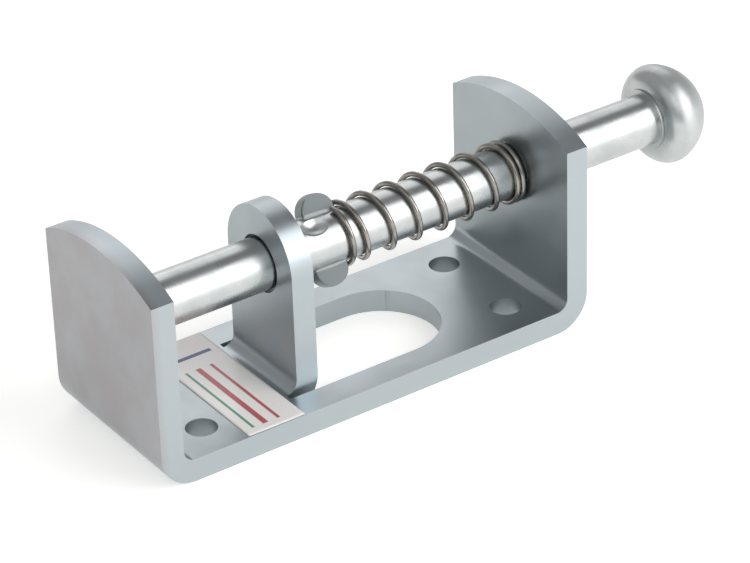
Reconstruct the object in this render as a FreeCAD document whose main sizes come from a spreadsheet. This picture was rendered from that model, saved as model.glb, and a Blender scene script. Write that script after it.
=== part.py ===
# Spring loaded gate latch: a folded steel bracket, a round bolt that slides through it to the
# knob side, and the compression spring that pushes the bolt shut. Millimetres.
# +X runs along the bolt to its knob, +Y to the back, +Z up. The origin is the middle of the
# four screw holes, on the underside of the bracket.
import FreeCAD, Part
import Sketcher
import math
import os
from FreeCAD import Placement, Rotation, Vector

os.makedirs("parts", exist_ok=True)
doc = FreeCAD.newDocument("gate_latch")

# Driving sizes: name, millimetres (degrees for an angle, turns for a count), meaning.
drivingSizes = [
    ("bracketLength", 102, "over the two end walls"),
    ("bracketWidth", 38.5, "width of the strip that the bracket is folded from"),
    ("sheetThickness", 5, "thickness of that strip"),
    ("bendRadius", 2.5, "inside radius of every bend"),
    ("wallCorner", 41, "height of the end walls at their corners"),
    ("wallCrown", 45.5, "height of the end walls at the middle of their arched top"),
    ("mouthWidth", 31.1, "clear width between the blind wall and the ear"),
    ("earWidth", 22.8, "width of the ear that guides the bolt"),
    ("earHeight", 41.4, "height of the ear at its round top"),
    ("windowWidth", 25.6, "width of the window that the ear was cut out of"),
    ("windowLength", 42.8, "from the ear's bend to the window's round end"),
    ("screwSpacingLong", 73.5, "between the screw holes, along the bracket"),
    ("screwSpacingWide", 21.3, "between the screw holes, across the bracket"),
    ("screwHoleDiameter", 6.5, "plain screw holes"),
    ("axisHeight", 29, "height of the bolt's axis above the underside"),
    ("boltDiameter", 11, "round bar that the bolt is made from"),
    ("boreClearance", 0.6, "between the bolt and its bores, on the radius"),
    ("seatGap", 0.1, "left between faces that press on each other"),
    ("tipChamfer", 0.8, "at the tip of the bolt"),
    ("knobReach", 29.6, "shank that shows between the end wall and the knob"),
    ("knobDiameter", 21.3, "over the rim of the knob"),
    ("knobLength", 13.4, "from the bead round the knob's neck to its front"),
    ("knobRim", 4, "radius of the knob's rounded rim"),
    ("knobLean", 0.15, "from the neck to the back of that rim"),
    ("collarHeight", 1.1, "height of the bead round the knob's neck"),
    ("collarWidth", 0.5, "width of that bead"),
    ("neckHeight", 0.75, "step from the shank up to the knob's flank"),
    ("lugRadius", 3.8, "outline radius of the lugs pinched out of the bar"),
    ("lugOffset", 5.6, "from the bolt's axis to the centre of that outline"),
    ("lugThickness", 3.6, "thickness of a lug at its rim"),
    ("lugEdge", 0.5, "rounding of the lugs' rim"),
    ("lugStandoff", 5.25, "from the ear to the lower lug when the bolt is shut"),
    ("lugStagger", 0.55, "shift of the upper lug to the knob, and of the lower one to the ear"),
    ("lugTilt", 30, "lean of the lugs from upright, the upper one to the back"),
    ("faceRadius", 4.8, "radius of the slanting face pressed into the front of a lug"),
    ("faceShift", 2, "from the middle of a lug to the middle of that face, to the knob"),
    ("faceDepth", 0.4, "from the middle of a lug's thickness to that face"),
    ("faceSlant", 22, "slant of that face, deepest at the ear's side"),
    ("scoopLength", 3.9, "half length of the scoop that the punch leaves under the upper lug"),
    ("scoopRadius", 3.1, "radius of that scoop, across the bar"),
    ("scoopShift", 3.4, "from the middle of the lug to the scoop, to the ear"),
    ("scoopReach", 4.5, "from the bolt's axis to the scoop's centre, along the lug"),
    ("scoopHeight", 5.85, "from the middle of the lug's thickness to the scoop's centre"),
    ("springWire", 1.1, "wire of the spring"),
    ("springPlay", 0.15, "between the spring and the bolt, on the radius"),
    ("springSeat", 2.85, "from the middle between the lugs to the wire's end beside them"),
    ("springStart", 88, "turning angle of the wire's end, from the back over the top"),
    ("seatTurns", 0.85, "turns beside the lugs"),
    ("seatPitch", 2.65, "pitch of those turns"),
    ("liftTurns", 0.45, "turn in which the pitch grows to its full size"),
    ("openTurns", 5.6, "turns of full pitch"),
    ("closingTurns", 0.35, "turn in which the pitch closes up"),
    ("closedTurns", 1.4, "turns that lie side by side at the end wall"),
    ("closedPitch", 1.3, "pitch of those turns"),
    ("springPoints", 16, "points for each turn that the wire's middle line runs through"),
    ("labelWidth", 13, "paper label, along the bracket"),
    ("labelInset", 0.25, "from each side of the bracket to the ends of the paper label"),
    ("labelThickness", 0.15, "paper label"),
    ("labelSetback", 3.3, "from the ear to the paper label"),
]
sizes = doc.addObject("Spreadsheet::Sheet", "Sizes")
for row, (name, amount, meaning) in enumerate(drivingSizes, start=1):
    sizes.set(f"A{row}", name)
    sizes.set(f"B{row}", str(amount))
    sizes.set(f"C{row}", meaning)
    sizes.setAlias(f"B{row}", name)
doc.recompute()

# Places that several pieces share, as formulas of the driving sizes.
halfLength = "(Sizes.bracketLength / 2)"
halfWidth = "(Sizes.bracketWidth / 2)"
innerFace = "(Sizes.bracketLength / 2 - Sizes.sheetThickness)"
earLeft = f"(Sizes.mouthWidth - {innerFace})"
earRight = f"({earLeft} + Sizes.sheetThickness)"
windowStart = f"({earLeft} - Sizes.bendRadius)"
boltRadius = "(Sizes.boltDiameter / 2)"
boreRadius = f"({boltRadius} + Sizes.boreClearance)"
boltTip = f"(Sizes.seatGap - {innerFace})"
knobStart = f"({halfLength} + Sizes.knobReach)"
lugCentre = f"({earRight} + Sizes.lugStandoff + Sizes.lugRadius + Sizes.lugStagger)"
coilRadius = f"({boltRadius} + Sizes.springPlay + Sizes.springWire / 2)"


def amount(formula):
    """The number that a formula of the driving sizes gives."""
    return float(sizes.evalExpression(formula))


def newBody(label):
    body = doc.addObject("PartDesign::Body", label)
    body.Label = label
    return body


def originPlane(body, role):
    return next(feature for feature in body.Origin.OriginFeatures if feature.Role == role)


def attach(item, plane, shift=("0", "0", "0"), axis=None, turn="0"):
    """Lays a sketch, plane or solid on a plane, moved by formulas along its two directions and its
    normal, and turned about an axis of that plane."""
    item.AttachmentSupport = [(plane, "")]
    item.MapMode = "FlatFace"
    place = Vector(*[amount(formula) for formula in shift])
    item.AttachmentOffset = Placement(place, Rotation(axis or Vector(0, 0, 1), amount(turn)))
    for direction, formula in zip("xyz", shift):
        if formula != "0":
            item.setExpression(f"AttachmentOffset.Base.{direction}", formula)
    if axis:
        item.setExpression("AttachmentOffset.Rotation.Angle", turn)


def newSketch(body, name, role, offset="0"):
    """A sketch on one of the body's own origin planes, moved along its normal."""
    sketch = body.newObject("Sketcher::SketchObject", name)
    attach(sketch, originPlane(body, role), ("0", "0", offset))
    return sketch


def bind(sketch, constraint, formula):
    """Adds a dimension and ties it to the driving sizes."""
    index = sketch.addConstraint(constraint)
    sketch.setExpression(f"Constraints[{index}]", formula)


def pin(sketch, geometry, point, across, up):
    """Ties one point of a sketch to its two coordinates."""
    bind(sketch, Sketcher.Constraint("DistanceX", -1, 1, geometry, point, amount(across)), across)
    bind(sketch, Sketcher.Constraint("DistanceY", -1, 1, geometry, point, amount(up)), up)


def joinEnds(sketch, pairs):
    for first, firstPoint, second, secondPoint in pairs:
        sketch.addConstraint(Sketcher.Constraint("Coincident", first, firstPoint, second, secondPoint))


def drawPolygon(sketch, corners):
    """A closed outline through corners given as pairs of formulas."""
    points = [Vector(amount(across), amount(up), 0) for across, up in corners]
    for start, end in zip(points, points[1:] + points[:1]):
        sketch.addGeometry(Part.LineSegment(start, end))
    count = len(corners)
    joinEnds(sketch, [(side, 2, (side + 1) % count, 1) for side in range(count)])
    for side, (across, up) in enumerate(corners):
        pin(sketch, side, 1, across, up)


def drawCircle(sketch, across, up, radius):
    centre = Vector(amount(across), amount(up), 0)
    index = sketch.addGeometry(Part.Circle(centre, Vector(0, 0, 1), amount(radius)))
    pin(sketch, index, 3, across, up)
    bind(sketch, Sketcher.Constraint("Radius", index, amount(radius)), radius)


def drawCap(sketch, chord, centre, radius, above):
    """The part of a circle that lies above a level chord, or below it."""
    half = math.sqrt(amount(radius) ** 2 - amount(f"{chord} - ({centre})") ** 2)
    ends = [Vector(-half, amount(chord), 0), Vector(half, amount(chord), 0)]
    middle = Vector(0, amount(centre), 0)
    angles = [math.atan2(end.y - middle.y, end.x - middle.x) for end in ends]
    first, last = (1, 0) if above else (0, 1)
    start = angles[first]
    stop = angles[last] if angles[last] > start else angles[last] + 2 * math.pi
    sketch.addGeometry(Part.LineSegment(ends[0], ends[1]))
    circle = Part.Circle(middle, Vector(0, 0, 1), amount(radius))
    sketch.addGeometry(Part.ArcOfCircle(circle, start, stop))
    joinEnds(sketch, [(0, first + 1, 1, 1), (0, last + 1, 1, 2)])
    sketch.addConstraint(Sketcher.Constraint("Horizontal", 0))
    pin(sketch, 1, 3, "0", centre)
    bind(sketch, Sketcher.Constraint("Radius", 1, amount(radius)), radius)
    bind(sketch, Sketcher.Constraint("DistanceY", -1, 1, 0, 1, amount(chord)), chord)


def drawRoundedHalf(sketch, reach, rise, rounding):
    """Half of a flat disc's section, from its axis to its rounded rim."""
    far = amount(reach)
    high = amount(rise)
    soft = amount(rounding)
    ends = [Vector(0, high, 0), Vector(0, -high, 0), Vector(far - soft, -high, 0),
            Vector(far, soft - high, 0), Vector(far, high - soft, 0), Vector(far - soft, high, 0)]
    for first, second in ((0, 1), (1, 2), (3, 4), (5, 0)):
        sketch.addGeometry(Part.LineSegment(ends[first], ends[second]))
    up = Vector(0, 0, 1)
    low = Part.Circle(Vector(far - soft, soft - high, 0), up, soft)
    top = Part.Circle(Vector(far - soft, high - soft, 0), up, soft)
    sketch.addGeometry(Part.ArcOfCircle(low, -math.pi / 2, 0))
    sketch.addGeometry(Part.ArcOfCircle(top, 0, math.pi / 2))
    joinEnds(sketch, [(0, 2, 1, 1), (3, 2, 0, 1)])
    for line, point, arc, end in ((1, 2, 4, 1), (2, 1, 4, 2), (2, 2, 5, 1), (3, 1, 5, 2)):
        sketch.addConstraint(Sketcher.Constraint("Tangent", line, point, arc, end))
    pin(sketch, 0, 1, "0", rise)
    pin(sketch, 0, 2, "0", f"-{rise}")
    bind(sketch, Sketcher.Constraint("Radius", 4, soft), rounding)
    bind(sketch, Sketcher.Constraint("Radius", 5, soft), rounding)
    bind(sketch, Sketcher.Constraint("DistanceX", -1, 1, 2, 1, far), reach)
    sketch.addConstraint(Sketcher.Constraint("Vertical", 2))


def drawTongue(sketch, foot, crown, width, upright):
    """A strip with one full round end: straight from foot, round at crown. It points up the sketch
    when upright, and to the right when not."""
    half = amount(width) / 2
    start = amount(foot)
    centre = amount(crown) - half
    flat = [(start, half), (start, -half), (centre, -half), (centre, half)]
    if upright:
        flat = [(-across, along) for along, across in flat]
    corners = [Vector(first, second, 0) for first, second in flat]
    turn = math.pi / 2 if not upright else 0
    middle = (corners[2] + corners[3]) / 2
    sketch.addGeometry(Part.LineSegment(corners[0], corners[1]))
    sketch.addGeometry(Part.LineSegment(corners[1], corners[2]))
    circle = Part.Circle(middle, Vector(0, 0, 1), half)
    sketch.addGeometry(Part.ArcOfCircle(circle, -turn, math.pi - turn))
    sketch.addGeometry(Part.LineSegment(corners[3], corners[0]))
    joinEnds(sketch, [(0, 2, 1, 1), (1, 2, 2, 1), (2, 2, 3, 1), (3, 2, 0, 1)])
    sideways = "Vertical" if upright else "Horizontal"
    levelled = "Horizontal" if upright else "Vertical"
    sketch.addConstraint(Sketcher.Constraint(sideways, 1))
    sketch.addConstraint(Sketcher.Constraint(sideways, 3))
    sketch.addConstraint(Sketcher.Constraint(levelled, 2, 3, 2, 1))
    sketch.addConstraint(Sketcher.Constraint(levelled, 2, 3, 2, 2))
    halfFormula = f"({width} / 2)"
    if upright:
        pin(sketch, 0, 1, f"-{halfFormula}", foot)
        pin(sketch, 1, 1, halfFormula, foot)
        bind(sketch, Sketcher.Constraint("DistanceY", -1, 1, 2, 3, centre), f"{crown} - {halfFormula}")
    else:
        pin(sketch, 0, 1, foot, halfFormula)
        pin(sketch, 1, 1, foot, f"-{halfFormula}")
        bind(sketch, Sketcher.Constraint("DistanceX", -1, 1, 2, 3, centre), f"{crown} - {halfFormula}")


def extrude(body, kind, name, sketch, length, symmetric=False, backwards=False):
    """A pad or a pocket of one length, which must change the body's volume."""
    before = body.Shape.Volume if body.Tip else 0
    feature = body.newObject(f"PartDesign::{kind}", name)
    feature.Profile = sketch
    feature.SideType = "Symmetric" if symmetric else "One side"
    feature.Reversed = backwards
    feature.setExpression("Length", length)
    sketch.Visibility = False
    doc.recompute()
    grown = feature.Shape.Volume - before
    if (kind == "Pad") != (grown > 0) or abs(grown) < 0.01:
        raise RuntimeError(f"{name} does not change the body as it should")
    return feature


def edgesWhere(shape, chosen):
    return [f"Edge{index}" for index, edge in enumerate(shape.Edges, start=1) if chosen(edge)]


def runsAlongY(edge, across, up):
    """True for a straight edge along Y at the given X and Z."""
    ends = [vertex.Point for vertex in edge.Vertexes]
    near = all(abs(end.x - across) < 0.01 and abs(end.z - up) < 0.01 for end in ends)
    return len(ends) == 2 and near and ends[0].distanceToPoint(ends[1]) > 1


def roundEdges(body, name, chosen, radius):
    base = body.Tip
    edges = edgesWhere(base.Shape, chosen)
    if not edges:
        raise RuntimeError(f"{name} finds no edge")
    fillet = body.newObject("PartDesign::Fillet", name)
    fillet.Base = (base, edges)
    fillet.setExpression("Radius", radius)
    doc.recompute()
    return fillet


# Bracket: one strip folded into a channel, with the guide ear cut from its base and folded up.
def makeBracket():
    body = newBody("bracket")
    thickness = "Sizes.sheetThickness"

    outline = newSketch(body, "EndOutline", "YZ_Plane")
    corner = amount("Sizes.wallCorner")
    rise = "(Sizes.wallCrown - Sizes.wallCorner)"
    archRadius = f"({halfWidth} ^ 2 + {rise} ^ 2) / (2 * {rise})"
    half = amount(halfWidth)
    radius = amount(archRadius)
    spread = math.asin(half / radius)
    foot = [Vector(-half, corner, 0), Vector(-half, 0, 0), Vector(half, 0, 0), Vector(half, corner, 0)]
    for start, end in zip(foot, foot[1:]):
        outline.addGeometry(Part.LineSegment(start, end))
    archCircle = Part.Circle(Vector(0, amount("Sizes.wallCrown") - radius, 0), Vector(0, 0, 1), radius)
    outline.addGeometry(Part.ArcOfCircle(archCircle, math.pi / 2 - spread, math.pi / 2 + spread))
    joinEnds(outline, [(0, 2, 1, 1), (1, 2, 2, 1), (2, 2, 3, 1), (3, 2, 0, 1)])
    pin(outline, 0, 1, f"-{halfWidth}", "Sizes.wallCorner")
    pin(outline, 1, 1, f"-{halfWidth}", "0")
    pin(outline, 2, 1, halfWidth, "0")
    pin(outline, 3, 1, halfWidth, "Sizes.wallCorner")
    bind(outline, Sketcher.Constraint("Radius", 3, radius), archRadius)
    extrude(body, "Pad", "ArchedBlock", outline, "Sizes.bracketLength", symmetric=True)

    channel = newSketch(body, "ChannelOutline", "XZ_Plane")
    above = "(Sizes.wallCrown + Sizes.sheetThickness)"
    drawPolygon(channel, [(f"-{innerFace}", thickness), (innerFace, thickness),
                          (innerFace, above), (f"-{innerFace}", above)])
    extrude(body, "Pocket", "Channel", channel, "Sizes.bracketWidth * 2", symmetric=True)

    inner = amount(innerFace)
    outer = amount(halfLength)
    deep = amount(thickness)
    roundEdges(body, "InnerBends",
               lambda edge: runsAlongY(edge, inner, deep) or runsAlongY(edge, -inner, deep),
               "Sizes.bendRadius")
    roundEdges(body, "OuterBends",
               lambda edge: runsAlongY(edge, outer, 0) or runsAlongY(edge, -outer, 0),
               "Sizes.bendRadius + Sizes.sheetThickness")

    window = newSketch(body, "WindowOutline", "XY_Plane")
    drawTongue(window, windowStart, f"({windowStart} + Sizes.windowLength)", "Sizes.windowWidth", False)
    extrude(body, "Pocket", "Window", window, thickness, backwards=True)

    plate = newSketch(body, "EarOutline", "YZ_Plane", offset=earLeft)
    drawTongue(plate, "0", "Sizes.earHeight", "Sizes.earWidth", True)
    extrude(body, "Pad", "EarPlate", plate, thickness)
    ledge = newSketch(body, "EarFootOutline", "XZ_Plane")
    ledgeEnd = f"({earLeft} + Sizes.sheetThickness / 2)"
    drawPolygon(ledge, [(windowStart, "0"), (ledgeEnd, "0"), (ledgeEnd, thickness),
                        (windowStart, thickness)])
    extrude(body, "Pad", "EarFoot", ledge, "Sizes.earWidth", symmetric=True)
    near = amount(earLeft)
    far = amount(earRight)
    roundEdges(body, "EarInnerBend", lambda edge: runsAlongY(edge, near, deep), "Sizes.bendRadius")
    roundEdges(body, "EarOuterBend", lambda edge: runsAlongY(edge, far, 0),
               "Sizes.bendRadius + Sizes.sheetThickness")

    # The two bores are drilled in line from the knob's side, and stop in the mouth.
    bores = newSketch(body, "BoreOutline", "YZ_Plane", offset=halfLength)
    drawCircle(bores, "0", "Sizes.axisHeight", boreRadius)
    extrude(body, "Pocket", "Bores", bores, f"{halfLength} - {earLeft} + Sizes.mouthWidth / 2")

    centres = newSketch(body, "ScrewCentres", "XY_Plane")
    for along in ("-Sizes.screwSpacingLong / 2", "Sizes.screwSpacingLong / 2"):
        for across in ("-Sizes.screwSpacingWide / 2", "Sizes.screwSpacingWide / 2"):
            drawCircle(centres, along, across, "Sizes.screwHoleDiameter / 2")
    doc.recompute()
    holes = body.newObject("PartDesign::Hole", "ScrewHoles")
    holes.Profile = centres
    holes.DepthType = "ThroughAll"
    holes.Reversed = True
    holes.setExpression("Diameter", "Sizes.screwHoleDiameter")
    doc.recompute()
    return body


# Lugs: two rounded discs that stand out of the bar, opposite each other in one leaning plane. A
# punch came down on each from the front and left a slanting face, and a scoop in the bar under the
# upper lug.
def makeLugs(body):
    plane = body.newObject("PartDesign::Plane", "LugPlane")
    attach(plane, originPlane(body, "XZ_Plane"), axis=Vector(1, 0, 0), turn="-Sizes.lugTilt")
    slope = "tan(Sizes.faceSlant * 1 deg)"
    for side, name in (("1", "Upper"), ("-1", "Lower")):
        middle = f"({lugCentre} + {side} * Sizes.lugStagger)"
        offset = f"({side} * Sizes.lugOffset)"
        half = body.newObject("Sketcher::SketchObject", f"LugSection{name}")
        attach(half, plane, (middle, offset, "0"), Vector(1, 0, 0), "90")
        drawRoundedHalf(half, "Sizes.lugRadius", "(Sizes.lugThickness / 2)", "Sizes.lugEdge")
        disc = body.newObject("PartDesign::Revolution", f"Lug{name}")
        disc.Profile = half
        disc.ReferenceAxis = (half, ["V_Axis"])
        disc.Angle = 360
        doc.recompute()
        face = body.newObject("Sketcher::SketchObject", f"FaceOutline{name}")
        depth = f"Sizes.faceDepth + Sizes.faceShift * {slope}"
        attach(face, plane, (f"{middle} + Sizes.faceShift", "0", depth), Vector(0, 1, 0), "-Sizes.faceSlant")
        root = f"{side} * ({boltRadius} - Sizes.lugEdge)"
        drawCap(face, root, offset, "Sizes.faceRadius", side == "1")
        extrude(body, "Pocket", f"PressedFace{name}", face, boltRadius, backwards=True)
    scoop = body.newObject("PartDesign::SubtractiveEllipsoid", "Scoop")
    scoop.setExpression("Radius1", "Sizes.scoopRadius")
    scoop.setExpression("Radius2", "Sizes.scoopLength")
    scoop.setExpression("Radius3", "Sizes.scoopRadius")
    attach(scoop, plane, (f"{lugCentre} + Sizes.lugStagger - Sizes.scoopShift", "Sizes.scoopReach",
                          "Sizes.scoopHeight"))
    doc.recompute()


# Bolt: a round bar with a mushroom knob forged on one end and two lugs pinched out of its middle.
def makeBolt():
    body = newBody("bolt")
    outline = newSketch(body, "BoltOutline", "XZ_Plane")
    rimOffset = "(Sizes.knobDiameter / 2 - Sizes.knobRim)"
    front = f"({knobStart} + Sizes.knobLength)"
    collarRadius = f"({boltRadius} + Sizes.collarHeight)"
    collarEnd = f"({knobStart} + Sizes.collarWidth)"
    rimCentre = f"({collarEnd} + Sizes.knobLean + Sizes.knobRim)"
    neckRadius = f"({boltRadius} + Sizes.neckHeight)"

    # The flank runs from the bead, tangent to the rim. The domed front is tangent to the rim too,
    # and has its centre on the axis.
    startX = amount(collarEnd)
    neck = amount(neckRadius)
    beadX = amount(knobStart)
    collar = amount(collarRadius)
    rimX = amount(rimCentre)
    rimR = amount(rimOffset)
    rim = amount("Sizes.knobRim")
    crown = amount(front) - rimX
    dome = (crown ** 2 + rimR ** 2 - rim ** 2) / (2 * (crown - rim))
    domeX = amount(front) - dome
    reach = math.hypot(rimX - startX, rimR - neck)
    flankAngle = math.atan2(rimR - neck, rimX - startX) + math.asin(rim / reach)
    flankEnd = Vector(rimX - rim * math.sin(flankAngle), rimR + rim * math.cos(flankAngle), 0)
    domeAngle = math.atan2(rimR, rimX - domeX)
    domeStart = Vector(domeX + dome * math.cos(domeAngle), dome * math.sin(domeAngle), 0)

    tip = amount(boltTip)
    chamfer = amount("Sizes.tipChamfer")
    radius = amount(boltRadius)
    path = [Vector(amount(front), 0, 0), Vector(tip, 0, 0), Vector(tip, radius - chamfer, 0),
            Vector(tip + chamfer, radius, 0), Vector(beadX, radius, 0), Vector(beadX, collar, 0),
            Vector(startX, collar, 0), Vector(startX, neck, 0), flankEnd]
    for start, end in zip(path, path[1:]):
        outline.addGeometry(Part.LineSegment(start, end))
    rimCircle = Part.Circle(Vector(rimX, rimR, 0), Vector(0, 0, 1), rim)
    outline.addGeometry(Part.ArcOfCircle(rimCircle, domeAngle, flankAngle + math.pi / 2))
    domeCircle = Part.Circle(Vector(domeX, 0, 0), Vector(0, 0, 1), dome)
    outline.addGeometry(Part.ArcOfCircle(domeCircle, 0, domeAngle))
    lastLine = len(path) - 2
    rimArc = lastLine + 1
    domeArc = lastLine + 2
    joinEnds(outline, [(line, 2, line + 1, 1) for line in range(lastLine)])
    joinEnds(outline, [(domeArc, 1, 0, 1)])
    outline.addConstraint(Sketcher.Constraint("Tangent", lastLine, 2, rimArc, 2))
    outline.addConstraint(Sketcher.Constraint("Tangent", rimArc, 1, domeArc, 2))
    pin(outline, 0, 1, front, "0")
    pin(outline, 1, 1, boltTip, "0")
    pin(outline, 2, 1, boltTip, f"{boltRadius} - Sizes.tipChamfer")
    pin(outline, 3, 1, f"{boltTip} + Sizes.tipChamfer", boltRadius)
    pin(outline, 4, 1, knobStart, boltRadius)
    pin(outline, 5, 1, knobStart, collarRadius)
    pin(outline, 6, 1, collarEnd, collarRadius)
    pin(outline, 7, 1, collarEnd, neckRadius)
    pin(outline, rimArc, 3, rimCentre, rimOffset)
    bind(outline, Sketcher.Constraint("Radius", rimArc, rim), "Sizes.knobRim")
    bind(outline, Sketcher.Constraint("DistanceY", -1, 1, domeArc, 3, 0), "0")
    turned = body.newObject("PartDesign::Revolution", "BarAndKnob")
    turned.Profile = outline
    turned.ReferenceAxis = (outline, ["H_Axis"])
    turned.Angle = 360
    doc.recompute()

    makeLugs(body)
    body.setExpression("Placement.Base.z", "Sizes.axisHeight")
    doc.recompute()
    return body


# Spring: the wire's middle line runs round the bolt. Its first turn nests between the lugs, then
# its pitch grows to the full one, and closes up before the end wall.
def makeSpring():
    wire = amount("Sizes.springWire")
    start = amount(f"{lugCentre} + Sizes.springSeat")
    end = amount(innerFace) - amount("Sizes.seatGap") - wire / 2
    closedPitch = amount("Sizes.closedPitch")
    ring = amount(coilRadius)
    seatPitch = amount("Sizes.seatPitch")
    seat, lift, opened, closing, closed = [amount(f"Sizes.{stage}Turns")
                                           for stage in ("seat", "lift", "open", "closing", "closed")]
    turnEnds = [0, seat, seat + lift, seat + lift + opened, seat + lift + opened + closing,
                seat + lift + opened + closing + closed]
    total = turnEnds[-1]
    slowTravel = seatPitch * (seat + lift / 2) + closedPitch * (closed + closing / 2)
    fullPitch = (end - start - slowTravel) / (lift / 2 + opened + closing / 2)
    pitches = [seatPitch, seatPitch, fullPitch, fullPitch, closedPitch, closedPitch]

    def place(turn):
        """A point of the middle line. In each stage the pitch changes evenly."""
        travel = 0
        for stage in range(len(turnEnds) - 1):
            length = turnEnds[stage + 1] - turnEnds[stage]
            part = min(max(turn - turnEnds[stage], 0), length)
            change = pitches[stage + 1] - pitches[stage]
            travel += pitches[stage] * part + change * part ** 2 / (2 * length)
        angle = math.radians(amount("Sizes.springStart") + 360 * turn)
        return Vector(start + travel, ring * math.cos(angle), ring * math.sin(angle))

    steps = math.ceil(total * amount("Sizes.springPoints"))
    middle = Part.BSplineCurve()
    middle.interpolate([place(total * step / steps) for step in range(steps + 1)])
    path = Part.Wire([middle.toShape()])
    heading = middle.tangent(middle.FirstParameter)[0]
    section = Part.Wire([Part.makeCircle(wire / 2, place(0), heading)])
    sweep = Part.BRepOffsetAPI.MakePipeShell(path)
    sweep.setBiNormalMode(Vector(1, 0, 0))
    sweep.add(section)
    sweep.build()
    sweep.makeSolid()
    shape = sweep.shape()
    expected = math.pi * wire ** 2 / 4 * middle.length()
    print(f"spring: full pitch {fullPitch:.2f}, turns {total:.2f}")
    print(f"spring: volume {shape.Volume / expected:.4f} of the wire's own")
    spring = doc.addObject("Part::Feature", "spring")
    spring.Label = "spring"
    spring.Shape = shape
    spring.Placement = Placement(Vector(0, 0, amount("Sizes.axisHeight")), Rotation())
    return spring


# Label: a thin paper strip stuck across the base, between the blind wall and the ear.
def makeLabel():
    body = newBody("label")
    outline = newSketch(body, "LabelOutline", "XY_Plane", offset="Sizes.sheetThickness")
    right = f"({earLeft} - Sizes.labelSetback)"
    left = f"({right} - Sizes.labelWidth)"
    side = f"({halfWidth} - Sizes.labelInset)"
    drawPolygon(outline, [(left, f"-{side}"), (right, f"-{side}"), (right, side), (left, side)])
    extrude(body, "Pad", "Paper", outline, "Sizes.labelThickness")
    return body


pieces = [makeBracket(), makeBolt(), makeSpring(), makeLabel()]
doc.recompute()

for item in doc.Objects:
    if "Invalid" in item.State or "Error" in item.State:
        raise RuntimeError(f"{item.Label} failed: {item.State}")
for piece in pieces:
    shape = piece.Shape
    if shape.isNull() or not shape.isValid() or len(shape.Solids) != 1:
        raise RuntimeError(f"{piece.Label} is not one valid solid")
    print(f"{piece.Label}: {shape.Volume:.1f} cubic millimetres, {shape.BoundBox}")
for piece in pieces:
    piece.Shape.exportStep(f"parts/{piece.Label}.step")
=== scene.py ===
import math

import bpy
import numpy as np
from mathutils import Matrix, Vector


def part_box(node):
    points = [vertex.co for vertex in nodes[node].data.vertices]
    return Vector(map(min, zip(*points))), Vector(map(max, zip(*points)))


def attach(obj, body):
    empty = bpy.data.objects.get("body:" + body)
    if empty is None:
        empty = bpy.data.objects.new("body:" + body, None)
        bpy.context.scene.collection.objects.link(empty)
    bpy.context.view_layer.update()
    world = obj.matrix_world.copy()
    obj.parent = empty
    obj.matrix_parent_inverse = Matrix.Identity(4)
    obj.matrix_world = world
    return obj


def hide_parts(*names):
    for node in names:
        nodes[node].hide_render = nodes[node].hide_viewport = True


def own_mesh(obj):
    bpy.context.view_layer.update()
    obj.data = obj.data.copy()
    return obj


# A spring loaded gate latch lying on a pale studio floor. Metres, +X along the bolt to its knob.
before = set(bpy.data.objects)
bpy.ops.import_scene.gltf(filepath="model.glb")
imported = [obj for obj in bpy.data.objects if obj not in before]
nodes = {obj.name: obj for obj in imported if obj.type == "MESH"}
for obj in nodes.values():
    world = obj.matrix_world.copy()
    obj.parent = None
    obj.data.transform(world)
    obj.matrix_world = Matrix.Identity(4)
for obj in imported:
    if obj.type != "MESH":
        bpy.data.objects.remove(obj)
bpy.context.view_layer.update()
print("frame loaded:", sorted(nodes))

millimetre = 0.001
axisHeight = 29.0            # millimetres, the bolt's axis above the bracket's underside


# sRGB hex to the linear colour that a shader takes, by the standard piecewise curve.
def linearColour(hexText):
    parts = [int(hexText[place:place + 2], 16) / 255 for place in (1, 3, 5)]
    linear = [part / 12.92 if part <= 0.04045 else ((part + 0.055) / 1.055) ** 2.4 for part in parts]
    return (*linear, 1)


# Adds a node, sets its own settings, then fills each input with a value or a link.
def addNode(tree, kind, inputs=None, **settings):
    node = tree.nodes.new(kind)
    for name, value in settings.items():
        setattr(node, name, value)
    for name, value in (inputs or {}).items():
        if isinstance(value, bpy.types.NodeSocket):
            tree.links.new(value, node.inputs[name])
        else:
            node.inputs[name].default_value = value
    return node


def newMaterial(name):
    material = bpy.data.materials.new(name)
    material.use_nodes = True
    material.node_tree.nodes.clear()
    return material, material.node_tree


# A closed surface from a grid of points, rows by columns. Each cell is one quad, the columns wrap
# round, and the first and last rows are closed by a point in their middle. Faces point outwards
# where the columns turn right-handed about the way that the rows run.
def gridObject(name, points, material):
    rows, columns, _ = points.shape
    vertices = points.reshape(-1, 3)
    row, column = np.meshgrid(np.arange(rows - 1), np.arange(columns), indexing="ij")
    right = (column + 1) % columns
    corners = [row * columns + column, row * columns + right,
               (row + 1) * columns + right, (row + 1) * columns + column]
    quads = np.stack(corners, axis=-1).reshape(-1, 4)
    first, last = len(vertices), len(vertices) + 1
    vertices = np.concatenate([vertices, [points[0].mean(0)], [points[-1].mean(0)]])
    around = np.arange(columns)
    following = (around + 1) % columns
    start = (rows - 1) * columns
    caps = np.concatenate([
        np.stack([np.full(columns, first), following, around], axis=-1),
        np.stack([np.full(columns, last), start + around, start + following], axis=-1)])
    mesh = bpy.data.meshes.new(name)
    mesh.from_pydata(vertices.tolist(), [], quads.tolist() + caps.tolist())
    mesh.update()
    mesh.shade_smooth()
    mesh.materials.append(material)
    piece = bpy.data.objects.new(name, mesh)
    bpy.context.scene.collection.objects.link(piece)
    return piece


# The camera's place and directions were fitted to the edges of the bracket in the photograph.
cameraSetup = {
    "place": (-0.32621, -0.50175, 0.37686),
    "right": (0.81879, -0.57333, -0.02950),
    "up": (0.31527, 0.40611, 0.85772),
    "back": (-0.47978, -0.71159, 0.51327),
    "lens": 168.4,           # millimetres
    "sensor": 36,            # millimetres wide
    "nearest": 0.01,
}


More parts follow.
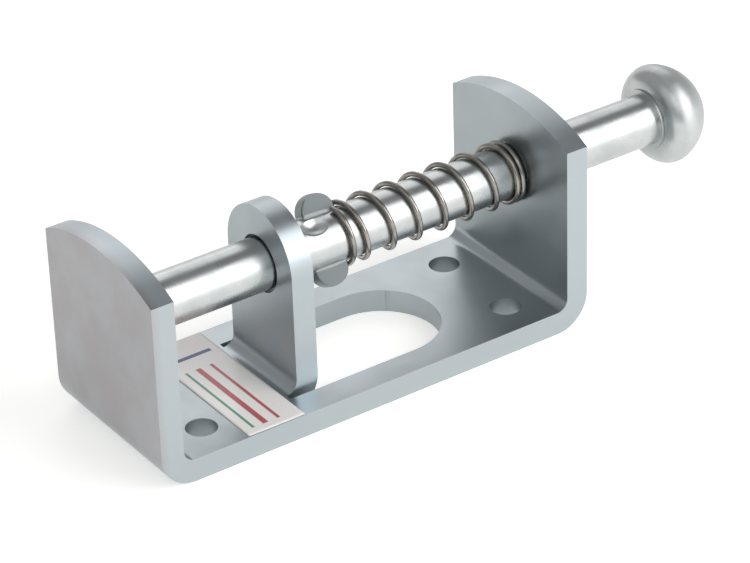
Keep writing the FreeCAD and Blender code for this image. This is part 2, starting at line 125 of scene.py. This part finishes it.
def makeCamera(setup):
    data = bpy.data.cameras.new("camera")
    data.lens = setup["lens"]
    data.sensor_width = setup["sensor"]
    data.clip_start = setup["nearest"]
    camera = bpy.data.objects.new("camera", data)
    bpy.context.scene.collection.objects.link(camera)
    turned = Matrix((setup["right"], setup["up"], setup["back"])).transposed().to_4x4()
    camera.matrix_world = Matrix.Translation(setup["place"]) @ turned
    bpy.context.scene.camera = camera


# Soft light panels all round the object stand in for a studio's walls and reflectors. A flag takes
# light away instead.
studio = {
    "floorReach": 8.0,
    "floorDrop": 0.05,       # millimetres below the bracket, so that the two faces don't mix
    "floorColour": "#F2F2F0",
    "floorRoughness": 0.9,
    "floorGloss": 0.2,
    "floorForCamera": 0.50,
    "paintedPoolForMetal": (0.57, 0.30),  # painted pool of light: its strength in front of the object and behind it
    "paintedPoolEdge": (-0.045, 0.030),    # where the painted pool of light starts to fade and where it ends
    "ambient": 0.44,
    "panelCore": 8,          # degrees from a panel's middle to where it starts to fade
    "panelRim": 30,          # degrees from its middle to where it ends
    "panels": {              # degrees from +X over +Y, degrees above the floor, strength
        "low in front": (288, 12, 1.45),
        "low on the right": (324, 12, 0.70),
        "high in front": (240, 38, 0.69),
        "high on the left": (195, 38, 0.27),
        "high behind": (60, 38, 0.75),
        "low behind": (72, 12, 0.43),
        "dark flag overhead": (5, 63, -0.22),
    },
    "boxAim": (0.47, -0.66, 0.60),
    "boxDistance": 1.15,
    "boxSide": 0.95,
    "boxPower": 5.5,
}


# A plain pale floor, lifted to white for the camera. For the metal it glows with a painted pool of
# light, brighter in front and dimmer behind. The object's own shadow stays on it.
def makeFloor(setup):
    reach, low = setup["floorReach"], -setup["floorDrop"] * millimetre
    corners = [(-reach, -reach, low), (reach, -reach, low), (reach, reach, low), (-reach, reach, low)]
    mesh = bpy.data.meshes.new("floor")
    mesh.from_pydata(corners, [], [(0, 1, 2, 3)])
    material, tree = newMaterial("pale studio floor")
    paths = addNode(tree, "ShaderNodeLightPath")
    metal = addNode(tree, "ShaderNodeMath", {
        0: paths.outputs["Is Glossy Ray"],
        1: paths.outputs["Is Transmission Ray"]}, operation="MAXIMUM")
    where = addNode(tree, "ShaderNodeTexCoord").outputs["Object"]
    split = addNode(tree, "ShaderNodeSeparateXYZ", {0: where})
    front, back = setup["paintedPoolEdge"]
    bright, dim = setup["paintedPoolForMetal"]
    # The painted pool of light on the floor, which only the metal sees: bright in front, dim behind.
    pool = addNode(tree, "ShaderNodeMapRange", {
        "Value": split.outputs["Y"], "From Min": front, "From Max": back,
        "To Min": bright, "To Max": dim}, interpolation_type="SMOOTHSTEP")
    metal = addNode(tree, "ShaderNodeMath", {
        0: metal.outputs[0], 1: pool.outputs[0]}, operation="MULTIPLY")
    lift = addNode(tree, "ShaderNodeMath", {
        0: paths.outputs["Is Camera Ray"], 1: setup["floorForCamera"],
        2: metal.outputs[0]}, operation="MULTIPLY_ADD")
    colour = linearColour(setup["floorColour"])
    shader = addNode(tree, "ShaderNodeBsdfPrincipled", {
        "Base Color": colour, "Roughness": setup["floorRoughness"],
        "Specular IOR Level": setup["floorGloss"],
        "Emission Color": colour, "Emission Strength": lift.outputs[0]})
    addNode(tree, "ShaderNodeOutputMaterial", {"Surface": shader.outputs[0]})
    mesh.materials.append(material)
    floor = bpy.data.objects.new("floor", mesh)
    bpy.context.scene.collection.objects.link(floor)


# The surroundings are an even ambient level plus each panel, which is full within its core and
# fades out smoothly to its rim. What counts is the cosine between a direction and the panel's own.
def makeSurroundings(setup):
    world = bpy.data.worlds.new("studio surroundings")
    bpy.context.scene.world = world
    world.use_nodes = True
    tree = world.node_tree
    tree.nodes.clear()
    direction = addNode(tree, "ShaderNodeTexCoord").outputs["Generated"]
    level = setup["ambient"]
    for azimuth, elevation, strength in setup["panels"].values():
        turn, rise = math.radians(azimuth), math.radians(elevation)
        aim = (math.cos(rise) * math.cos(turn), math.cos(rise) * math.sin(turn), math.sin(rise))
        cosine = addNode(tree, "ShaderNodeVectorMath", {0: direction, 1: aim}, operation="DOT_PRODUCT")
        panel = addNode(tree, "ShaderNodeMapRange", {
            "Value": cosine.outputs["Value"], "From Min": math.cos(math.radians(setup["panelRim"])),
            "From Max": math.cos(math.radians(setup["panelCore"])),
            "To Max": strength}, interpolation_type="SMOOTHSTEP")
        level = addNode(tree, "ShaderNodeMath", {0: level, 1: panel.outputs[0]}).outputs[0]
    light = addNode(tree, "ShaderNodeBackground", {"Color": (1, 1, 1, 1), "Strength": level})
    addNode(tree, "ShaderNodeOutputWorld", {"Surface": light.outputs[0]})


def makeSoftBox(setup):
    data = bpy.data.lights.new("soft box", "AREA")
    data.shape = "SQUARE"
    data.size = setup["boxSide"]
    data.energy = setup["boxPower"]
    lamp = bpy.data.objects.new("soft box", data)
    bpy.context.scene.collection.objects.link(lamp)
    aim = np.array(setup["boxAim"]) / np.linalg.norm(setup["boxAim"])
    across = np.cross((0, 0, 1), aim)
    across /= np.linalg.norm(across)
    turned = Matrix((across, np.cross(aim, across), aim)).transposed().to_4x4()
    lamp.matrix_world = Matrix.Translation(aim * setup["boxDistance"]) @ turned


makeCamera(cameraSetup)
makeFloor(studio)
makeSurroundings(studio)
makeSoftBox(studio)
bpy.context.scene.view_settings.view_transform = "Standard"
print("camera, floor and light are set")


# Lengths and places are in millimetres. A span is the part of the noise over which a patch grows.
plateFinish = {
    "colour": "#B0B8BC",
    # The warm colour is a painted reflection on the blind wall's outer face.
    "paintedReflectionColour": "#ADAAAD",
    "paintedReflectionSide": (-49.2, -51.0),  # along the bolt, up to the blind wall's outer face
    "paintedReflectionSpan": (0.25, 0.7),
    "paintedReflectionLeast": 0.55,
    "roughness": (0.29, 0.38),
    "roughSpan": (0.3, 0.7),
    "mottleSize": 9.0,       # across one cloud of the plating
    "grainSize": 0.35,       # the pickled steel under the plating
    "grainDepth": 0.03,
    "grainStrength": 0.12,
    "seamPlace": 21.3,       # along the bolt, where the window's punch cut twice
    "seamWidth": 0.45,
    "seamDepth": 0.25,
    "seamReach": (5.0, 12.0),  # from the middle, where only the window's wall lies
    "seamTop": 4.85,         # just below the top of the base
}


# Zinc plated steel strip: satin bluish grey, a little cloudy, with a fine pickled grain that keeps
# its reflections soft. The outside of the blind wall has a faint warm painted reflection in cloudy
# patches, and the window's wall a small upright seam from the punch on each side.
def makeZincPlate(finish):
    material, tree = newMaterial("zinc plated steel strip")
    where = addNode(tree, "ShaderNodeTexCoord").outputs["Object"]
    split = addNode(tree, "ShaderNodeSeparateXYZ", {0: where})
    cloud = addNode(tree, "ShaderNodeTexNoise", {
        "Vector": where, "Scale": 1 / (finish["mottleSize"] * millimetre),
        "Detail": 3, "Roughness": 0.5}).outputs["Fac"]
    near, far = finish["paintedReflectionSide"]
    outside = addNode(tree, "ShaderNodeMapRange", {
        "Value": split.outputs["X"], "From Min": near * millimetre, "From Max": far * millimetre})
    least, most = finish["paintedReflectionSpan"]
    patches = addNode(tree, "ShaderNodeMapRange", {
        "Value": cloud, "From Min": least, "From Max": most,
        "To Min": finish["paintedReflectionLeast"]}, interpolation_type="SMOOTHSTEP")
    # A painted warm reflection on the blind wall's outer face, in cloudy patches.
    tint = addNode(tree, "ShaderNodeMath", {
        0: outside.outputs[0], 1: patches.outputs[0]}, operation="MULTIPLY")
    colour = addNode(tree, "ShaderNodeMix", {
        0: tint.outputs[0], 6: linearColour(finish["colour"]),
        7: linearColour(finish["paintedReflectionColour"])}, data_type="RGBA")
    least, most = finish["roughSpan"]
    smooth, dull = finish["roughness"]
    rough = addNode(tree, "ShaderNodeMapRange", {
        "Value": cloud, "From Min": least, "From Max": most,
        "To Min": smooth, "To Max": dull}, interpolation_type="SMOOTHSTEP")
    grain = addNode(tree, "ShaderNodeTexNoise", {
        "Vector": where, "Scale": 1 / (finish["grainSize"] * millimetre),
        "Detail": 4, "Roughness": 0.6})
    bump = addNode(tree, "ShaderNodeBump", {
        "Strength": finish["grainStrength"], "Distance": finish["grainDepth"] * millimetre,
        "Height": grain.outputs["Fac"]})
    # The seam's height falls off on both sides of its place. Limits keep it to the window's wall.
    beside = addNode(tree, "ShaderNodeMath", {
        0: split.outputs["X"], 1: finish["seamPlace"] * millimetre}, operation="SUBTRACT")
    beside = addNode(tree, "ShaderNodeMath", {0: beside.outputs[0]}, operation="ABSOLUTE")
    seam = addNode(tree, "ShaderNodeMapRange", {
        "Value": beside.outputs[0], "From Max": finish["seamWidth"] * millimetre,
        "To Min": 1, "To Max": 0}, interpolation_type="SMOOTHSTEP")
    aside = addNode(tree, "ShaderNodeMath", {0: split.outputs["Y"]}, operation="ABSOLUTE").outputs[0]
    near, far = finish["seamReach"]
    limits = ((aside, near, "GREATER_THAN"), (aside, far, "LESS_THAN"),
              (split.outputs["Z"], finish["seamTop"], "LESS_THAN"))
    for value, limit, side in limits:
        inside = addNode(tree, "ShaderNodeMath", {0: value, 1: limit * millimetre}, operation=side)
        seam = addNode(tree, "ShaderNodeMath", {
            0: seam.outputs[0], 1: inside.outputs[0]}, operation="MULTIPLY")
    bump = addNode(tree, "ShaderNodeBump", {
        "Strength": 1.0, "Distance": finish["seamDepth"] * millimetre,
        "Height": seam.outputs[0], "Normal": bump.outputs[0]})
    shader = addNode(tree, "ShaderNodeBsdfPrincipled", {
        "Base Color": colour.outputs[2], "Metallic": 1.0, "Roughness": rough.outputs[0],
        "Normal": bump.outputs[0]})
    addNode(tree, "ShaderNodeOutputMaterial", {"Surface": shader.outputs[0]})
    return material


barFinish = {
    "colour": "#C5C8C8",
    "shadeColour": "#BABEBF",
    "shadeSpan": (0.35, 0.7),
    "roughness": (0.25, 0.33),
    "roughSpan": (0.3, 0.7),
    # The lugs' darker grey is painted shade.
    "lugPaintedShade": "#8E9597",
    "lugRoughness": 0.40,
    "lugPlace": 11.0,        # along the bolt, past the lugs
    "lugStart": (5.6, 5.8),  # from the axis, where the bar's skin was pinched out
    "knobPlace": 83.5,       # along the bolt, where the forged knob starts
    "knobRoughness": 0.42,
    "mottleSize": 5.0,       # across one cloud of the plating
    "lineSize": 0.5,         # between the fine rings that drawing and turning leave
    "lineDepth": 0.02,
    "lineStrength": 0.10,
    "lineStretch": 50,       # a ring is this much longer round the bar than it is wide
}


# Bright drawn bar, zinc plated: smoother than the strip, with faint rings round its axis. The
# pinched lugs stand out past the bar's skin; their plating is duller, and their darker grey is painted
# shade. The forged knob has a tumbled skin that spreads its highlights.
def makeZincBar(finish):
    material, tree = newMaterial("zinc plated drawn bar")
    where = addNode(tree, "ShaderNodeTexCoord").outputs["Object"]
    cloud = addNode(tree, "ShaderNodeTexNoise", {
        "Vector": where, "Scale": 1 / (finish["mottleSize"] * millimetre),
        "Detail": 3, "Roughness": 0.5}).outputs["Fac"]
    least, most = finish["shadeSpan"]
    patches = addNode(tree, "ShaderNodeMapRange", {
        "Value": cloud, "From Min": least, "From Max": most}, interpolation_type="SMOOTHSTEP")
    colour = addNode(tree, "ShaderNodeMix", {
        0: patches.outputs[0], 6: linearColour(finish["colour"]),
        7: linearColour(finish["shadeColour"])}, data_type="RGBA")
    # A lug is what stands further from the axis than the bar's skin, on the ear's side of the knob.
    place = addNode(tree, "ShaderNodeSeparateXYZ", {0: where}).outputs["X"]
    fromAxis = addNode(tree, "ShaderNodeVectorMath", {
        0: where, 1: (0, 1, 1), 2: (0, 0, -axisHeight * millimetre)}, operation="MULTIPLY_ADD")
    radius = addNode(tree, "ShaderNodeVectorMath", {0: fromAxis.outputs[0]}, operation="LENGTH")
    near, far = finish["lugStart"]
    standing = addNode(tree, "ShaderNodeMapRange", {
        "Value": radius.outputs["Value"], "From Min": near * millimetre, "From Max": far * millimetre})
    pinched = addNode(tree, "ShaderNodeMath", {
        0: place, 1: finish["lugPlace"] * millimetre}, operation="LESS_THAN")
    lug = addNode(tree, "ShaderNodeMath", {
        0: standing.outputs[0], 1: pinched.outputs[0]}, operation="MULTIPLY").outputs[0]
    # The lugs get a darker grey as painted shade.
    colour = addNode(tree, "ShaderNodeMix", {
        0: lug, 6: colour.outputs[2], 7: linearColour(finish["lugPaintedShade"])}, data_type="RGBA")
    thin = 1 / finish["lineStretch"]
    along = addNode(tree, "ShaderNodeMapping", {"Vector": where, "Scale": (1, thin, thin)})
    rings = addNode(tree, "ShaderNodeTexNoise", {
        "Vector": along.outputs[0], "Scale": 1 / (finish["lineSize"] * millimetre),
        "Detail": 2, "Roughness": 0.5})
    least, most = finish["roughSpan"]
    smooth, dull = finish["roughness"]
    rough = addNode(tree, "ShaderNodeMapRange", {
        "Value": cloud, "From Min": least, "From Max": most,
        "To Min": smooth, "To Max": dull}, interpolation_type="SMOOTHSTEP")
    rough = addNode(tree, "ShaderNodeMix", {0: lug, 2: rough.outputs[0], 3: finish["lugRoughness"]})
    knob = addNode(tree, "ShaderNodeMath", {
        0: place, 1: finish["knobPlace"] * millimetre}, operation="GREATER_THAN")
    rough = addNode(tree, "ShaderNodeMix", {
        0: knob.outputs[0], 2: rough.outputs[0], 3: finish["knobRoughness"]})
    bump = addNode(tree, "ShaderNodeBump", {
        "Strength": finish["lineStrength"], "Distance": finish["lineDepth"] * millimetre,
        "Height": rings.outputs["Fac"]})
    shader = addNode(tree, "ShaderNodeBsdfPrincipled", {
        "Base Color": colour.outputs[2], "Metallic": 1.0, "Roughness": rough.outputs[0],
        "Normal": bump.outputs[0]})
    addNode(tree, "ShaderNodeOutputMaterial", {"Surface": shader.outputs[0]})
    return material


nodes["bracket"].material_slots[0].material = makeZincPlate(plateFinish)
nodes["bolt"].material_slots[0].material = makeZincBar(barFinish)
print("bracket and bolt have their finishes")


# The same winding as the CAD spring, in millimetres, degrees and turns.
spring = {
    "wire": 1.1,
    "ring": 6.2,             # radius of the wire's middle line
    "firstPlace": 2.55,      # the wire's end between the lugs
    "lastPlace": 45.35,      # its end at the wall
    "startAngle": 88.0,      # from the back over the top
    "stageTurns": (0.85, 0.45, 5.6, 0.35, 1.4),  # seat, rise, open, fall, closed
    "seatPitch": 2.65,
    "closedPitch": 1.3,
    "stepsPerTurn": 64,
    "sides": 18,
    "cutRound": 0.2,         # rounding of the wire's cut ends
    "cutSteps": 5,
    "lugReach": 4.1,         # where the lugs meet the spring
    "travel": 30.0,
    "colour": "#A5A19B",
    "shadeColour": "#8C8882",
    "shadeSpan": (0.3, 0.7),
    "roughness": (0.11, 0.18),
    "mottleSize": 2.5,
}


# Bright drawn spring wire: warmer and glossier than the plated steel, so its two edges go dark and
# a bright line runs along it.
def makeWireFinish(finish):
    material, tree = newMaterial("bright drawn spring wire")
    where = addNode(tree, "ShaderNodeTexCoord").outputs["Object"]
    cloud = addNode(tree, "ShaderNodeTexNoise", {
        "Vector": where, "Scale": 1 / (finish["mottleSize"] * millimetre),
        "Detail": 3, "Roughness": 0.5}).outputs["Fac"]
    least, most = finish["shadeSpan"]
    patches = addNode(tree, "ShaderNodeMapRange", {
        "Value": cloud, "From Min": least, "From Max": most}, interpolation_type="SMOOTHSTEP")
    colour = addNode(tree, "ShaderNodeMix", {
        0: patches.outputs[0], 6: linearColour(finish["colour"]),
        7: linearColour(finish["shadeColour"])}, data_type="RGBA")
    smooth, dull = finish["roughness"]
    rough = addNode(tree, "ShaderNodeMapRange", {
        "Value": patches.outputs[0], "To Min": smooth, "To Max": dull})
    shader = addNode(tree, "ShaderNodeBsdfPrincipled", {
        "Base Color": colour.outputs[2], "Metallic": 1.0, "Roughness": rough.outputs[0]})
    addNode(tree, "ShaderNodeOutputMaterial", {"Surface": shader.outputs[0]})
    return material


# A round section carried along a line that runs round the bolt. The pitch changes evenly within
# each stage, and the line's travel is the sum of the pitch. The full pitch is the one that brings
# the line to its last place. At each cut end the section shrinks along a quarter circle.
def makeSpring(coil, material):
    stageEnds = np.concatenate([[0], np.cumsum(coil["stageTurns"])])
    total = stageEnds[-1]
    seat, closed = coil["seatPitch"], coil["closedPitch"]
    slow = np.array([seat, seat, 0, 0, closed, closed])
    full = np.array([0, 0, 1, 1, 0, 0])
    slowTravel = ((slow[1:] + slow[:-1]) / 2 * np.diff(stageEnds)).sum()
    fullTurns = ((full[1:] + full[:-1]) / 2 * np.diff(stageEnds)).sum()
    fullPitch = (coil["lastPlace"] - coil["firstPlace"] - slowTravel) / fullTurns
    quarter = np.linspace(0, np.pi / 2, coil["cutSteps"] + 1)
    cut = coil["cutRound"] * (1 - np.cos(quarter)) / (2 * np.pi * coil["ring"])
    steps = math.ceil(total * coil["stepsPerTurn"])
    turn = np.concatenate([cut, np.linspace(cut[-1], total - cut[-1], steps)[1:-1], total - cut[::-1]])
    shrink = coil["cutRound"] * (1 - np.sin(quarter))
    size = coil["wire"] / 2 - np.concatenate([shrink, np.zeros(steps - 2), shrink[::-1]])
    pitch = np.interp(turn, stageEnds, slow + fullPitch * full)
    travel = np.concatenate([[0], np.cumsum((pitch[1:] + pitch[:-1]) / 2 * np.diff(turn))])
    angle = np.radians(coil["startAngle"] + 360 * turn)
    nought = np.zeros(len(turn))
    outward = np.stack([nought, np.cos(angle), np.sin(angle)], axis=-1)
    heading = np.stack([pitch, -2 * np.pi * coil["ring"] * np.sin(angle),
                        2 * np.pi * coil["ring"] * np.cos(angle)], axis=-1)
    heading /= np.linalg.norm(heading, axis=1)[:, None]
    sideways = np.cross(heading, outward)
    onAxis = np.stack([coil["firstPlace"] + travel, nought, nought + axisHeight], axis=-1)
    line = onAxis + outward * coil["ring"]
    around = np.linspace(0, 2 * np.pi, coil["sides"], endpoint=False)[None, :, None]
    section = np.cos(around) * outward[:, None] + np.sin(around) * sideways[:, None]
    points = line[:, None] + section * size[:, None, None]
    return gridObject("springCoil", points * millimetre, material)


springCoil = makeSpring(spring, makeWireFinish(spring))
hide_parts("spring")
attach(springCoil, "spring")
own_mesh(springCoil)
print("spring has", len(springCoil.data.polygons), "faces")


# In millimetres.
label = {
    "inset": 0.02,           # inside the CAD strip
    "rows": 60,
    "columns": 24,
    "wave": 0.03,            # how much the paper lifts between its glued spots
    "waveLength": (16.0, 20.0, 37.0),  # of the quick wave across and along, and of the slow one
    "rim": 2.0,              # over which the waves die out
    "paper": "#FBF8F5",
    "fibre": "#E6E0DA",
    "fibreSize": 0.4,
    "fibreSpan": (0.3, 0.8),
    "fibreShare": 0.25,
    "fibreDepth": 0.01,
    "fibreStrength": 0.15,
    "roughness": 0.45,
    "coat": (0.4, 0.12),     # weight and roughness of the clear coat
    "inkEdge": 0.08,         # over which the ink fades
    "bars": {                # plain printed bars: colour, then from and to along X and along Y
        "wide red": ("#BE5A5E", (-26.6, -25.4), (-17.0, 7.5)),
        "thin red": ("#BE5A5E", (-23.3, -22.6), (-17.0, 7.5)),
        "green": ("#5E9C80", (-29.1, -28.5), (-17.0, 7.5)),
        "blue": ("#4A5590", (-29.5, -20.0), (11.7, 12.8)),
    },
}


# Coated label paper: nearly white, a little uneven and half glossy, with plain printed bars.
def makePaper(finish):
    material, tree = newMaterial("coated label paper")
    where = addNode(tree, "ShaderNodeTexCoord").outputs["Object"]
    split = addNode(tree, "ShaderNodeSeparateXYZ", {0: where})
    fibre = addNode(tree, "ShaderNodeTexNoise", {
        "Vector": where, "Scale": 1 / (finish["fibreSize"] * millimetre), "Detail": 3}).outputs["Fac"]
    least, most = finish["fibreSpan"]
    share = addNode(tree, "ShaderNodeMapRange", {
        "Value": fibre, "From Min": least, "From Max": most,
        "To Max": finish["fibreShare"]}, interpolation_type="SMOOTHSTEP")
    colour = addNode(tree, "ShaderNodeMix", {
        0: share.outputs[0], 6: linearColour(finish["paper"]),
        7: linearColour(finish["fibre"])}, data_type="RGBA")
    edge = finish["inkEdge"]
    for ink, across, along in finish["bars"].values():
        # A bar's share is the product of a rise and a fall along each of the two directions.
        share = None
        for axis, (low, high) in (("X", across), ("Y", along)):
            for near, far in ((low - edge, low + edge), (high + edge, high - edge)):
                step = addNode(tree, "ShaderNodeMapRange", {
                    "Value": split.outputs[axis],
                    "From Min": near * millimetre, "From Max": far * millimetre})
                if share:
                    step = addNode(tree, "ShaderNodeMath", {
                        0: share, 1: step.outputs[0]}, operation="MULTIPLY")
                share = step.outputs[0]
        colour = addNode(tree, "ShaderNodeMix", {
            0: share, 6: colour.outputs[2], 7: linearColour(ink)}, data_type="RGBA")
    bump = addNode(tree, "ShaderNodeBump", {
        "Strength": finish["fibreStrength"], "Distance": finish["fibreDepth"] * millimetre,
        "Height": fibre})
    coatWeight, coatRoughness = finish["coat"]
    shader = addNode(tree, "ShaderNodeBsdfPrincipled", {
        "Base Color": colour.outputs[2], "Roughness": finish["roughness"],
        "Coat Weight": coatWeight, "Coat Roughness": coatRoughness, "Normal": bump.outputs[0]})
    addNode(tree, "ShaderNodeOutputMaterial", {"Surface": shader.outputs[0]})
    return material


# A closed strip of paper: the columns go over its top and back under it, the rows along it. Its
# height is a product of two slow waves that die out at the rim.
def makeLabel(finish, material):
    low, high = (np.array(corner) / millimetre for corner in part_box("label"))
    inset = finish["inset"]
    along = np.linspace(low[1] + inset, high[1] - inset, finish["rows"])
    half = np.linspace(low[0] + inset, high[0] - inset, finish["columns"])
    across = np.concatenate([half, half[::-1]])
    over = np.concatenate([np.ones(len(half)), np.zeros(len(half))])
    y, x = np.meshgrid(along, across, indexing="ij")
    wide, long, slow = finish["waveLength"]
    wave = (np.sin(2 * np.pi * (x / wide + y / long)) * np.sin(2 * np.pi * y / slow) + 1) / 2
    room = np.minimum(np.minimum(y - low[1], high[1] - y), np.minimum(x - low[0], high[0] - x))
    fade = np.clip(room / finish["rim"], 0, 1)
    z = low[2] + (high[2] - low[2] + finish["wave"] * (wave - 1) * fade) * over[None, :]
    points = np.stack([x, y, z], axis=-1)
    return gridObject("paperLabel", points * millimetre, material)


paperLabel = makeLabel(label, makePaper(label))
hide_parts("label")
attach(paperLabel, "bracket")
print("label is in place")
